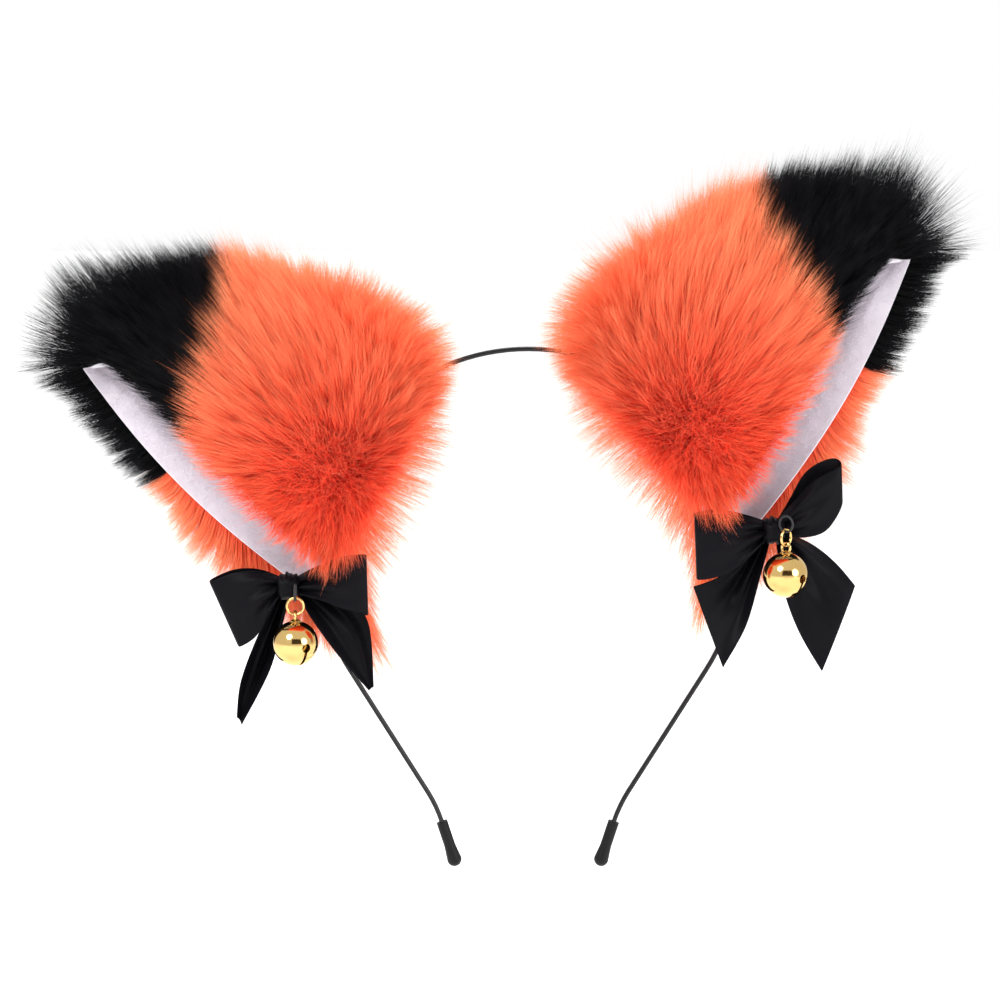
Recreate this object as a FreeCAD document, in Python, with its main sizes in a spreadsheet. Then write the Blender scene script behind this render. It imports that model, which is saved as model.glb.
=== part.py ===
import FreeCAD, Part
import math
import os

import Sketcher
from FreeCAD import Placement, Rotation, Vector

# Fox ears on a thin spring steel hoop. The row frame has +X to the wearer's left as seen from
# the front, -Y to the front and +Z up. Its origin is the centre of the hoop's round arc, which
# is also the centre of the head and the axis that the ears slide round. All sizes are in mm.

doc = FreeCAD.newDocument("fox_ears_headband")
sheet = doc.addObject("Spreadsheet::Sheet", "Sizes")


class Size:
    """A number that also holds the spreadsheet expression it comes from."""

    def __init__(self, value, text):
        self.value = float(value)
        self.text = text

    def _with(self, other, sign, value):
        return Size(value, f"({self.text} {sign} {as_size(other).text})")

    def __add__(self, other):
        return self._with(other, "+", self.value + as_size(other).value)

    def __sub__(self, other):
        return self._with(other, "-", self.value - as_size(other).value)

    def __mul__(self, other):
        return self._with(other, "*", self.value * as_size(other).value)

    def __truediv__(self, other):
        return self._with(other, "/", self.value / as_size(other).value)

    def __neg__(self):
        return self * -1

    def sin(self):
        return Size(math.sin(math.radians(self.value)), f"sin({self.text})")

    def cos(self):
        return Size(math.cos(math.radians(self.value)), f"cos({self.text})")


def as_size(value):
    return value if isinstance(value, Size) else Size(value, repr(float(value)))


cells = []


def cell(alias, value, note):
    """Writes one driving dimension to the spreadsheet and returns it as a Size."""
    row = len(cells) + 1
    cells.append(alias)
    sheet.set(f"A{row}", note)
    sheet.set(f"B{row}", str(value))
    sheet.setAlias(f"B{row}", alias)
    return Size(value, f"Sizes.{alias}")


# --- the hoop -------------------------------------------------------------------------------
hoop_radius = cell("hoop_radius", 57.0, "radius of the hoop's round arc, at the middle of the strip")
hoop_half_arc = cell("hoop_half_arc", 122.0, "degrees of arc from the crown to each straight leg")
leg_length = cell("leg_length", 39.5, "straight leg, from the arc to the bend above its end")
bend_radius = cell("bend_radius", 38.0, "radius of the outward bend above each end")
bend_angle = cell("bend_angle", 14.0, "degrees that each end is bent outwards")
end_length = cell("end_length", 10.0, "straight end of the strip, inside the cap")
strip_width = cell("strip_width", 2.4, "width of the flattened spring wire, front to back")
strip_thick = cell("strip_thick", 1.3, "thickness of the flattened spring wire")

# --- the dipped end caps --------------------------------------------------------------------
cap_length = cell("cap_length", 13.0, "end cap, overall")
cap_mouth_radius = cell("cap_mouth_radius", 1.55, "end cap at its mouth")
cap_bulb_radius = cell("cap_bulb_radius", 2.0, "end cap at its rounded bulb")
cap_play = cell("cap_play", 0.03, "clearance between the strip and the cap")

# --- how the ears sit on the hoop -----------------------------------------------------------
left_ear_angle = cell("left_ear_angle", 62.0, "degrees from the crown to the left ear's middle")
right_ear_angle = cell("right_ear_angle", 47.0, "degrees from the crown to the right ear's middle")
sleeve_span = cell("sleeve_span", 64.0, "degrees of the hoop that the fabric channel covers")
sleeve_offset = cell("sleeve_offset", 5.0, "degrees that the channel sits outboard of the ear's middle")
sleeve_wall = cell("sleeve_wall", 0.4, "wall of the fabric channel")
sleeve_play = cell("sleeve_play", 0.12, "clearance between the strip and the channel")

# --- the ear's cupped panel -----------------------------------------------------------------
ear_height = cell("ear_height", 76.0, "from the hoop to the tip of the panel")
ear_drop = cell("ear_drop", 10.0, "how far the panel wraps in past the hoop")
ear_ridge = cell("ear_ridge", 32.0, "from the ear's middle to its folded inboard side")
ear_edge = cell("ear_edge", 36.0, "from the ear's middle to its open outboard edge, at the base")
ear_tip_shift = cell("ear_tip_shift", 7.0, "how far the tip leans outboard of the ear's middle")
ear_belly = cell("ear_belly", 5.5, "how far the open outboard edge bows out, halfway up")
front_depth = cell("front_depth", 21.0, "how far the front wall bulges forward")
back_depth = cell("back_depth", 13.0, "how far the back wall bulges backward")
base_curl = cell("base_curl", 131.0, "degrees that the front wall curls round from the fold, at the base")
front_curl = cell("front_curl", 108.0, "degrees that the front wall curls round, below the tip")
back_curl = cell("back_curl", 165.0, "degrees that the back wall curls round from the fold")
tip_round = cell("tip_round", 1.6, "half width of the panel at its very tip")
pile_depth = cell("pile_depth", 11.5, "thickness of the standing fur pile with its backing")
felt_thick = cell("felt_thick", 1.2, "stiffening felt between fur and lining")
lining_thick = cell("lining_thick", 1.4, "short plush lining")
layer_gap = cell("layer_gap", 0.1, "gap between the layers of the ear")
seam_front = cell("seam_front", 0.54, "share of the ear's height where the tip panel starts, front edge")
seam_back = cell("seam_back", 0.6, "share of the ear's height where the tip panel starts, back edge")
seam_ridge = cell("seam_ridge", 0.68, "share of the ear's height where the tip panel starts, at the fold")
lining_start = cell("lining_start", 0.22, "share of the ear's height where lining and felt start")
lining_end = cell("lining_end", 0.84, "share of the ear's height where lining and felt end")

# --- the bow --------------------------------------------------------------------------------
left_bow_out = cell("left_bow_out", 35.0, "from the left ear's middle to its bow's knot, outboard")
right_bow_out = cell("right_bow_out", 37.5, "from the right ear's middle to its bow's knot, outboard")
bow_down = cell("bow_down", -3.0, "from the hoop's crown line to the bow's knot, outwards")
knot_radius = cell("knot_radius", 3.2, "radius of the bow's knot")
knot_back = cell("knot_back", 7.8, "back of the knot, forward of the hoop")
knot_front = cell("knot_front", 17.0, "front of the knot, forward of the hoop")
knot_round = cell("knot_round", 1.4, "rounding of the knot")
ribbon_layer = cell("ribbon_layer", 0.6, "thickness of a ribbon tail")
ribbon_gap = cell("ribbon_gap", 0.2, "gap between the layers of ribbon and round the knot")
loop_thick = cell("loop_thick", 2.2, "thickness of a flattened ribbon loop")
ribbon_root = cell("ribbon_root", 3.4, "width of the ribbon where it is gathered in the knot")
ribbon_width = cell("ribbon_width", 17.0, "width of the satin ribbon where it opens out")
tail_long = cell("tail_long", 36.0, "length of the longer tail, from the knot")
tail_short = cell("tail_short", 32.0, "length of the shorter tail, from the knot")
tail_slant = cell("tail_slant", 9.0, "how much longer a tail is on one edge, from its slanting cut")
loop_length = cell("loop_length", 19.0, "length of a ribbon loop, from the knot")

# --- the bell and what it hangs on ----------------------------------------------------------
bell_radius = cell("bell_radius", 6.0, "outer radius of the jingle bell")
bell_wall = cell("bell_wall", 0.45, "wall of the jingle bell")
slot_width = cell("slot_width", 0.8, "width of the bell's slot")
hole_radius = cell("hole_radius", 1.2, "radius of the round hole at each end of the slot")
slot_rise = cell("slot_rise", 0.6, "from the bell's middle down to the two round holes")
eye_radius = cell("eye_radius", 1.3, "radius of the bell's eye, at the middle of its wire")
eye_wire = cell("eye_wire", 0.36, "radius of the eye's wire")
ring_radius = cell("ring_radius", 2.2, "radius of the jump ring, at the middle of its wire")
ring_wire = cell("ring_wire", 0.36, "radius of the jump ring's wire")
thread_radius = cell("thread_radius", 2.1, "radius of the thread loop, at the middle of the thread")
thread_wire = cell("thread_wire", 0.3, "radius of the thread")
hang_gap = cell("hang_gap", 0.06, "gap between two links of the bell's chain")
pellet_radius = cell("pellet_radius", 1.8, "radius of the loose pellet in the bell")
pellet_gap = cell("pellet_gap", 0.3, "gap between the pellet and the bell")

doc.recompute()

MIRROR = {"left": -1, "right": 1}
EAR_ANGLE = {"left": left_ear_angle, "right": right_ear_angle}
BOW_OUT = {"left": left_bow_out, "right": right_bow_out}
# Where the thread leaves the knot, across and up, how far the links are turned round the
# vertical and the way the bell's slot faces, in degrees.
THREAD_AT = {"left": (2.4, -0.9), "right": (2.8, 2.3)}
LINK_TURN = {"left": 0.0, "right": 50.0}
SLOT_TURN = {"left": 33.0, "right": 44.0}
# The directions of each bow's flaps round its knot, in degrees up from +X, and their slanting cuts.
FLAPS = {
    "left": {"loop_outer": 201.0, "loop_inner": 7.0, "tail_outer": 250.0, "tail_inner": 307.0},
    "right": {"loop_outer": 43.0, "loop_inner": 187.0, "tail_outer": 306.0, "tail_inner": 251.0},
}


def finished(obj, label, placement=None):
    """Gives a sub-part the label that names its file, and its place."""
    obj.Label = label
    if placement is not None:
        obj.Placement = placement
    doc.recompute()
    made.append(obj)
    return obj


made = []


# --- sketch helpers -------------------------------------------------------------------------
def new_body(name):
    return doc.addObject("PartDesign::Body", name)


def plane_of(body, role):
    return next(o for o in body.Origin.OriginFeatures if o.Role == role)


def new_sketch(body, name, role):
    sketch = body.newObject("Sketcher::SketchObject", name)
    sketch.AttachmentSupport = [(plane_of(body, role), "")]
    sketch.MapMode = "FlatFace"
    return sketch


def pin(sketch, geometry, point, axis, size):
    """Holds one coordinate of a sketch point at a size, or on the axis when the size is zero."""
    size = as_size(size)
    if abs(size.value) < 1e-9:
        sketch.addConstraint(
            Sketcher.Constraint("PointOnObject", geometry, point, -2 if axis == "X" else -1)
        )
        return
    index = sketch.addConstraint(
        Sketcher.Constraint("Distance" + axis, -1, 1, geometry, point, size.value)
    )
    sketch.setExpression(f"Constraints[{index}]", size.text)


def flat(point):
    return Vector(as_size(point[0]).value, as_size(point[1]).value, 0)


def draw(sketch, start, steps, closed=True):
    """Draws lines and arcs one after another. A step is (end,) for a line, or (end, centre, pinned
    axis of the centre, turns left) for an arc."""
    at, first = start, None
    for step in steps:
        end = step[0]
        if len(step) == 1:
            g = sketch.addGeometry(Part.LineSegment(flat(at), flat(end)), False)
            here, there = 1, 2
        else:
            centre, axis, left = step[1:]
            begin, finish = (at, end) if left else (end, at)
            middle, a, b = flat(centre), flat(begin), flat(finish)
            circle = Part.Circle(middle, Vector(0, 0, 1), (a - middle).Length)
            turn_a = math.atan2((a - middle).y, (a - middle).x)
            turn_b = math.atan2((b - middle).y, (b - middle).x)
            g = sketch.addGeometry(Part.ArcOfCircle(circle, turn_a, turn_b), False)
            here, there = (1, 2) if left else (2, 1)
            pin(sketch, g, 3, axis, centre[0 if axis == "X" else 1])
        if first is None:
            first = (g, here)
            pin(sketch, g, here, "X", at[0])
            pin(sketch, g, here, "Y", at[1])
        else:
            sketch.addConstraint(Sketcher.Constraint("Coincident", last[0], last[1], g, here))
        if step is steps[-1] and closed:
            sketch.addConstraint(Sketcher.Constraint("Coincident", g, there, first[0], first[1]))
        else:
            pin(sketch, g, there, "X", end[0])
            pin(sketch, g, there, "Y", end[1])
        last, at = (g, there), end
    return sketch


def stadium(sketch, middle, width, thick):
    """A flattened circle, long along the sketch's X, centred at a height on its Y axis."""
    half, r = (width - thick) / 2, thick / 2
    top, low = middle + r, middle - r
    draw(
        sketch,
        (-half, top),
        [
            ((-half, low), (-half, middle), "X", True),
            ((half, low),),
            ((half, top), (half, middle), "X", True),
            ((-half, top),),
        ],
    )
    return sketch


def pad(body, sketch, length, both_ways=False, up=False):
    feature = body.newObject("PartDesign::Pad", "Pad")
    feature.Profile = sketch
    feature.setExpression("Length", as_size(length).text)
    feature.Midplane = both_ways
    feature.Reversed = up
    return feature


# --- the hoop and its caps ------------------------------------------------------------------
leg_turn = hoop_half_arc
end_turn = hoop_half_arc - bend_angle
arc_end = (hoop_radius * leg_turn.sin(), hoop_radius * leg_turn.cos())
leg_end = (arc_end[0] + leg_length * leg_turn.cos(), arc_end[1] - leg_length * leg_turn.sin())
bend_centre = (leg_end[0] + bend_radius * leg_turn.sin(), leg_end[1] + bend_radius * leg_turn.cos())
bend_end = (bend_centre[0] - bend_radius * end_turn.sin(), bend_centre[1] - bend_radius * end_turn.cos())
strip_end = (bend_end[0] + end_length * end_turn.cos(), bend_end[1] - end_length * end_turn.sin())


def make_band():
    """The hoop: a flattened spring wire swept from the crown to one end, then mirrored."""
    body = new_body("HoopBody")
    path = new_sketch(body, "HoopPath", "XZ_Plane")
    draw(
        path,
        (0, hoop_radius),
        [
            (arc_end, (0, 0), "Y", False),
            (leg_end,),
            (bend_end, bend_centre, "X", True),
            (strip_end,),
        ],
        closed=False,
    )
    profile = new_sketch(body, "HoopSection", "YZ_Plane")
    stadium(profile, hoop_radius, strip_width, strip_thick)
    pipe = body.newObject("PartDesign::AdditivePipe", "HoopSweep")
    pipe.Profile = profile
    pipe.Spine = path
    doc.recompute()
    mirrored = body.newObject("PartDesign::Mirrored", "BothSides")
    mirrored.Originals = [pipe]
    mirrored.MirrorPlane = (plane_of(body, "YZ_Plane"), [""])
    body.Tip = mirrored
    return finished(body, "spring_band")


def make_cap(side):
    """A soft cap, turned to a rounded bulb, with a blind slot that takes the strip's end."""
    body = new_body(f"{side}CapBody".capitalize())
    outline = new_sketch(body, "CapOutline", "XZ_Plane")
    bulb_at = cap_bulb_radius - cap_length
    draw(
        outline,
        (0, 0),
        [
            ((0, -cap_length),),
            ((cap_bulb_radius, bulb_at), (0, bulb_at), "Y", True),
            ((cap_mouth_radius, bulb_at + cap_bulb_radius * 2),),
            ((cap_mouth_radius, 0),),
            ((0, 0),),
        ],
    )
    turned = body.newObject("PartDesign::Revolution", "CapTurned")
    turned.Profile = outline
    turned.ReferenceAxis = (outline, ["V_Axis"])
    turned.Angle = 360
    slot = new_sketch(body, "CapSlot", "XY_Plane")
    across = strip_thick / 2 + cap_play
    deep = strip_width / 2 + cap_play
    draw(
        slot,
        (-across, -deep),
        [((across, -deep),), ((across, deep),), ((-across, deep),), ((-across, -deep),)],
    )
    pocket = body.newObject("PartDesign::Pocket", "CapSlotCut")
    pocket.Profile = slot
    pocket.setExpression("Length", (end_length + cap_play).text)
    sign = MIRROR[side]
    way = sign * (end_turn.value - 90)
    place = Placement(
        Vector(sign * bend_end[0].value, 0, bend_end[1].value),
        Rotation(Vector(0, 1, 0), way),
    )
    return finished(body, f"{side}_end_cap", place)


# --- the ear's panel ------------------------------------------------------------------------
def rise(x):
    """A smooth step from 0 at 0 to 1 at 1."""
    x = min(max(x, 0.0), 1.0)
    return x * x * (3 - 2 * x)


def ear_point(u, v, grow, sign):
    """A point of the ear's cupped panel, standing on the crown. u runs from the front edge at -1,
    through the fold at 0, to the back edge at 1, and v from the base at 0 to the tip at 1. grow
    moves the panel outwards, or inwards when it is negative."""
    tip, ridge = ear_tip_shift.value, ear_ridge.value
    wrapped = max(0.0, 1 - v / 0.2) ** 2
    swell = (1 - v**3.2) ** 0.75
    inboard = tip - (tip + ridge) * swell + 7 * wrapped
    straight = ear_edge.value + (tip - ear_edge.value) * v
    outboard = straight + ear_belly.value * math.sin(math.pi * v) - 4 * wrapped
    half = max((outboard - inboard) / 2, 0) + tip_round.value
    middle = (outboard + inboard) / 2
    foot = 1 - max(0.0, 1 - v / 0.25) ** 2
    cup = math.sqrt(foot) * (1 - max(0.0, (v - 0.25) / 0.75) ** 2.2) ** 0.8
    # The pile is shorter at the base, where the bow holds it down, and at the tip.
    spread = grow * (0.72 + 0.28 * rise(v / 0.3)) if grow > 0 else grow
    if u < 0:
        open_curl = base_curl.value + (front_curl.value - base_curl.value) * min(v / 0.75, 1)
        turn = -u * (open_curl + (174 - open_curl) * rise((v - 0.84) / 0.16))
        depth = front_depth.value * cup
    else:
        closing = math.sin(math.pi * min(max((v - 0.06) / 0.94, 0), 1)) ** 0.55
        turn = -u * (176 - (176 - back_curl.value) * closing)
        depth = back_depth.value * cup
    turn = math.radians(turn)
    across = middle - (half + spread) * math.cos(turn)
    forward = (max(depth, 0) + tip_round.value + spread) * math.sin(turn)
    bottom, top = -ear_drop.value, ear_height.value
    if grow > 0:
        top += 0.75 * grow
        bottom -= 0.75 * spread
    else:
        top += 2 * grow
    radius = hoop_radius.value
    # Only the back wall's outboard end follows the hoop down: elsewhere the base is straight.
    drop = radius - math.sqrt(radius**2 - min(max(across, 0.0), 0.85 * radius) ** 2)
    up = radius + bottom + (top - bottom) * v - rise(2 * u) * drop * (1 - v) ** 1.5
    return Vector(sign * across, -forward, up)


def seam_height(u):
    """The share of the ear's height where the tip panel is sewn on."""
    edge = seam_front.value if u < 0 else seam_back.value
    return edge + (seam_ridge.value - edge) * (1 - abs(u)) ** 2


def panel_solid(low, high, inner, outer, sign, across=28, along=14):
    """A closed solid of the panel between two growths and two heights, which may be functions."""
    sheets = []
    for grow in (inner, outer):
        grid = []
        for i in range(across + 1):
            u = -1 + 2 * i / across
            v_low, v_high = low(u), high(u)
            grid.append(
                [
                    ear_point(u, v_low + (v_high - v_low) * j / along, grow, sign)
                    for j in range(along + 1)
                ]
            )
        surface = Part.BSplineSurface()
        surface.interpolate(grid)
        sheets.append(surface)
    faces = [s.toShape() for s in sheets]
    for name, edges in (
        ("u", [(s.uIso(0.0), s.uIso(1.0)) for s in sheets]),
        ("v", [(s.vIso(0.0), s.vIso(1.0)) for s in sheets]),
    ):
        for k in (0, 1):
            faces.append(Part.makeRuledSurface(edges[0][k].toShape(), edges[1][k].toShape()))
    shell = Part.makeShell(faces)
    shell.sewShape()
    solid = Part.makeSolid(Part.Shell(shell.Faces))
    if solid.Volume < 0:
        solid.reverse()
    return solid


def band_way(play):
    """The space round the strip and its channel, along the whole arc."""
    high = strip_thick.value / 2 + sleeve_play.value + sleeve_wall.value + play
    wide = strip_width.value / 2 + sleeve_play.value + sleeve_wall.value + play
    ring = Part.makeCylinder(hoop_radius.value + high, 2 * wide, Vector(0, -wide, 0), Vector(0, 1, 0))
    hole = Part.makeCylinder(hoop_radius.value - high, 4 * wide, Vector(0, -2 * wide, 0), Vector(0, 1, 0))
    return ring.cut(hole)


def ear_place(side):
    return Placement(Vector(0, 0, 0), Rotation(Vector(0, 1, 0), MIRROR[side] * EAR_ANGLE[side].value))


def knot_point(side):
    """The middle of the bow's knot on the hoop's plane, in the row frame."""
    local = Vector(MIRROR[side] * BOW_OUT[side].value, 0, hoop_radius.value + bow_down.value)
    return ear_place(side).multVec(local)


def flap_sizes(side):
    """Each flap's length, the slant of its end, its thickness and how far forward it starts."""
    first = knot_back + ribbon_gap
    second = first + ribbon_layer + ribbon_gap
    third = second + ribbon_layer + ribbon_gap
    long_one, short_one = ("outer", "inner") if side == "left" else ("inner", "outer")
    return {
        f"tail_{long_one}": (tail_long, tail_slant, ribbon_layer, first),
        f"tail_{short_one}": (tail_short, -tail_slant, ribbon_layer, second),
        "loop_outer": (loop_length, as_size(0), loop_thick, third),
        "loop_inner": (loop_length, as_size(0), loop_thick, third),
    }


def bow_way(side, play):
    """The space that the bow's flaps press into the pile, in the ear's own frame."""
    rooms = []
    root = knot_radius.value + ribbon_gap.value - play
    half, wide = ribbon_root.value / 2 + 2 * play, ribbon_width.value / 2 + 2 * play
    for flap, (length, slant, thick, back) in flap_sizes(side).items():
        low, high = length.value - slant.value, length.value
        reach = max(low, high) + play
        lower = [(0, -half), (root, -half), (low, -wide), (reach, -wide)]
        upper = [(reach, wide), (high, wide), (root, half), (0, half), (0, -half)]
        corners = [c for i, c in enumerate(lower + upper) if i == 0 or c != (lower + upper)[i - 1]]
        room = Part.Face(Part.makePolygon([Vector(x, play - back.value, z) for x, z in corners]))
        room = room.extrude(Vector(0, -thick.value - 2 * play, 0))
        room.Placement = Placement(knot_point(side), Rotation(Vector(0, 1, 0), -FLAPS[side][flap]))
        rooms.append(room)
    way = rooms[0].multiFuse(rooms[1:])
    way.Placement = ear_place(side).inverse()
    return way


def make_panel(side, name, low, high, inner, outer, pierced=False):
    shape = panel_solid(low, high, inner, outer, MIRROR[side])
    if pierced:
        shape = shape.cut(band_way(layer_gap.value)).cut(bow_way(side, layer_gap.value))
    feature = doc.addObject("Part::Feature", f"{side}_{name}".title().replace("_", ""))
    feature.Shape = shape
    return finished(feature, f"{side}_ear_{name}", ear_place(side))


def make_ear(side):
    """The ear's layers, from the outside in: fur in two colours, felt and plush lining."""
    gap, felt = layer_gap.value, felt_thick.value
    start, end = lining_start.value, lining_end.value
    make_panel(side, "fur_body", lambda u: 0.0, seam_height, 0, pile_depth.value, pierced=True)
    make_panel(side, "fur_tip", lambda u: seam_height(u) + 0.004, lambda u: 1.0, 0, pile_depth.value)
    make_panel(side, "stiffening_felt", lambda u: start, lambda u: end, -gap - felt, -gap)
    inner = -2 * gap - felt - lining_thick.value
    make_panel(side, "plush_lining", lambda u: start, lambda u: end, inner, -2 * gap - felt)


def make_sleeve(side):
    """The fabric channel that is sewn in the base of the ear and slides on the strip."""
    body = new_body(f"{side}SleeveBody".capitalize())
    outer = new_sketch(body, "ChannelOutside", "YZ_Plane")
    around = (sleeve_play + sleeve_wall) * 2
    stadium(outer, hoop_radius, strip_width + around, strip_thick + around)
    turned = body.newObject("PartDesign::Revolution", "ChannelTurned")
    turned.Profile = outer
    turned.ReferenceAxis = (outer, ["H_Axis"])
    turned.Midplane = True
    turned.setExpression("Angle", sleeve_span.text)
    inner = new_sketch(body, "ChannelInside", "YZ_Plane")
    stadium(inner, hoop_radius, strip_width + sleeve_play * 2, strip_thick + sleeve_play * 2)
    hollow = body.newObject("PartDesign::Groove", "ChannelHollow")
    hollow.Profile = inner
    hollow.ReferenceAxis = (inner, ["H_Axis"])
    hollow.Midplane = True
    hollow.setExpression("Angle", (sleeve_span + 4).text)
    turn = MIRROR[side] * (EAR_ANGLE[side].value + sleeve_offset.value)
    return finished(body, f"{side}_band_channel", Placement(Vector(0, 0, 0), Rotation(Vector(0, 1, 0), turn)))


# --- the bow --------------------------------------------------------------------------------
def make_knot(side):
    body = new_body(f"{side}KnotBody".capitalize())
    outline = new_sketch(body, "KnotOutline", "XZ_Plane")
    circle = outline.addGeometry(Part.Circle(Vector(0, 0, 0), Vector(0, 0, 1), knot_radius.value), False)
    outline.addConstraint(Sketcher.Constraint("Coincident", circle, 3, -1, 1))
    index = outline.addConstraint(Sketcher.Constraint("Radius", circle, knot_radius.value))
    outline.setExpression(f"Constraints[{index}]", knot_radius.text)
    knot = pad(body, outline, knot_front - knot_back)
    doc.recompute()
    round_edges = [f"Edge{i + 1}" for i, e in enumerate(knot.Shape.Edges) if isinstance(e.Curve, Part.Circle)]
    rounded = body.newObject("PartDesign::Fillet", "KnotRounding")
    rounded.Base = (knot, round_edges)
    rounded.setExpression("Radius", knot_round.text)
    body.Tip = rounded
    at = knot_point(side) + Vector(0, -knot_back.value, 0)
    return finished(body, f"{side}_bow_knot", Placement(at, Rotation()))


def make_flap(side, flap, length, slant, thick, back):
    """One flap of ribbon: gathered at the knot, wide at its end, which may be cut on a slant."""
    body = new_body(f"{side}_{flap}".title().replace("_", ""))
    outline = new_sketch(body, "FlapOutline", "XZ_Plane")
    root = knot_radius + ribbon_gap
    half, wide = ribbon_root / 2, ribbon_width / 2
    draw(
        outline,
        (root, -half),
        [
            ((length - slant, -wide),),
            ((length, wide),),
            ((root, half),),
            ((root, -half),),
        ],
    )
    pad(body, outline, thick)
    doc.recompute()
    turn = Rotation(Vector(0, 1, 0), -FLAPS[side][flap])
    at = knot_point(side) + Vector(0, -back.value, 0)
    return finished(body, f"{side}_bow_{flap}", Placement(at, turn))


def make_bow(side):
    make_knot(side)
    for flap, (length, slant, thick, back) in flap_sizes(side).items():
        make_flap(side, flap, length, slant, thick, back)


# --- the bell -------------------------------------------------------------------------------
def chain_points(side):
    """Where each link of the bell's chain is, from the thread down to the bell's middle."""
    across, up = THREAD_AT[side]
    knot = knot_point(side)
    reach = thread_radius.value * math.cos(math.radians(LINK_TURN[side]))
    forward = knot_front.value + reach - thread_wire.value / 2
    low_thread = Vector(knot.x + across, -forward, knot.z + up - thread_radius.value)
    ring_top = low_thread.z + thread_wire.value + ring_wire.value + hang_gap.value
    ring = Vector(low_thread.x, low_thread.y, ring_top - ring_radius.value)
    ring_low = ring.z - ring_radius.value
    eye_top = ring_low + ring_wire.value + eye_wire.value + hang_gap.value
    eye = Vector(ring.x, ring.y, eye_top - eye_radius.value)
    bell = Vector(ring.x, ring.y, eye.z - eye_radius.value - bell_radius.value + bell_wall.value / 4)
    return {
        "thread": low_thread + Vector(0, 0, thread_radius.value),
        "ring_pivot": low_thread,
        "ring": ring,
        "bell_pivot": Vector(ring.x, ring.y, ring_low),
        "eye": eye,
        "bell": bell,
    }


def make_bell(side, at):
    """The hollow bell, with one slot across its base that ends in two round holes."""
    body = new_body(f"{side}BellBody".capitalize())
    outline = new_sketch(body, "BellWall", "XZ_Plane")
    inside = bell_radius - bell_wall
    draw(
        outline,
        (0, -bell_radius),
        [
            ((0, bell_radius), (0, 0), "X", True),
            ((0, inside),),
            ((0, -inside), (0, 0), "X", False),
            ((0, -bell_radius),),
        ],
    )
    turned = body.newObject("PartDesign::Revolution", "BellTurned")
    turned.Profile = outline
    turned.ReferenceAxis = (outline, ["V_Axis"])
    turned.Angle = 360
    cut = new_sketch(body, "BellSlot", "YZ_Plane")
    half = slot_width / 2
    draw(
        cut,
        (-half, -slot_rise),
        [
            ((-half, -bell_radius - 1),),
            ((half, -bell_radius - 1),),
            ((half, -slot_rise),),
            ((-half, -slot_rise),),
        ],
    )
    slot = body.newObject("PartDesign::Pocket", "BellSlotCut")
    slot.Profile = cut
    slot.Midplane = True
    slot.setExpression("Length", (bell_radius * 2 + 2).text)
    holes = new_sketch(body, "BellHoles", "YZ_Plane")
    circle = holes.addGeometry(
        Part.Circle(Vector(0, -slot_rise.value, 0), Vector(0, 0, 1), hole_radius.value), False
    )
    pin(holes, circle, 3, "X", 0)
    pin(holes, circle, 3, "Y", -slot_rise)
    index = holes.addConstraint(Sketcher.Constraint("Radius", circle, hole_radius.value))
    holes.setExpression(f"Constraints[{index}]", hole_radius.text)
    drilled = body.newObject("PartDesign::Pocket", "BellHolesCut")
    drilled.Profile = holes
    drilled.Midplane = True
    drilled.setExpression("Length", (bell_radius * 2 + 2).text)
    turn = Rotation(Vector(0, 0, 1), SLOT_TURN[side] - 90)
    return finished(body, f"{side}_bell_shell", Placement(at, turn))


def make_pellet(side, at):
    pellet = doc.addObject("Part::Sphere", f"{side}Pellet".capitalize())
    pellet.setExpression("Radius", pellet_radius.text)
    rest = pellet_radius.value + pellet_gap.value - (bell_radius.value - bell_wall.value)
    return finished(pellet, f"{side}_bell_pellet", Placement(at + Vector(0, 0, rest), Rotation()))


def make_chain(side):
    points = chain_points(side)
    turned = Rotation(Vector(0, 0, 1), LINK_TURN[side])
    along_y = turned.multiply(Rotation(Vector(1, 0, 0), 90))
    along_x = turned.multiply(Rotation(Vector(0, 1, 0), 90))
    for name, label, radius, wire, at, turn in (
        ("Thread", "thread_loop", thread_radius, thread_wire, points["thread"], along_x),
        ("Ring", "jump_ring", ring_radius, ring_wire, points["ring"], along_y),
        ("Eye", "bell_eye", eye_radius, eye_wire, points["eye"], along_x),
    ):
        torus = doc.addObject("Part::Torus", side.capitalize() + name)
        torus.setExpression("Radius1", radius.text)
        torus.setExpression("Radius2", wire.text)
        finished(torus, f"{side}_{label}", Placement(at, turn))
    make_bell(side, points["bell"])
    make_pellet(side, points["bell"])


# --- the whole headband ---------------------------------------------------------------------
make_band()
for side in ("left", "right"):
    make_cap(side)
    make_sleeve(side)
    make_ear(side)
    make_bow(side)
    make_chain(side)

doc.recompute()
for obj in doc.Objects:
    if {"Invalid", "Error"} & set(obj.State):
        raise RuntimeError(f"{obj.Name} ({obj.Label}) is {obj.State}")
os.makedirs("parts", exist_ok=True)
for obj in made:
    shape = obj.Shape
    if shape.isNull() or not shape.isValid() or not shape.Solids:
        raise RuntimeError(f"{obj.Label} has no valid solid")
    shape.exportStep(f"parts/{obj.Label}.step")
    print(f"{obj.Label}: {len(shape.Solids)} solid, {shape.Volume:.1f} mm3")
for side in ("left", "right"):
    for name, at in chain_points(side).items():
        print(f"{side} {name}: {at.x:.3f} {at.y:.3f} {at.z:.3f}")
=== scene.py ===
import math
import bmesh
import bpy
import numpy as np
from mathutils import Matrix, Vector


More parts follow.
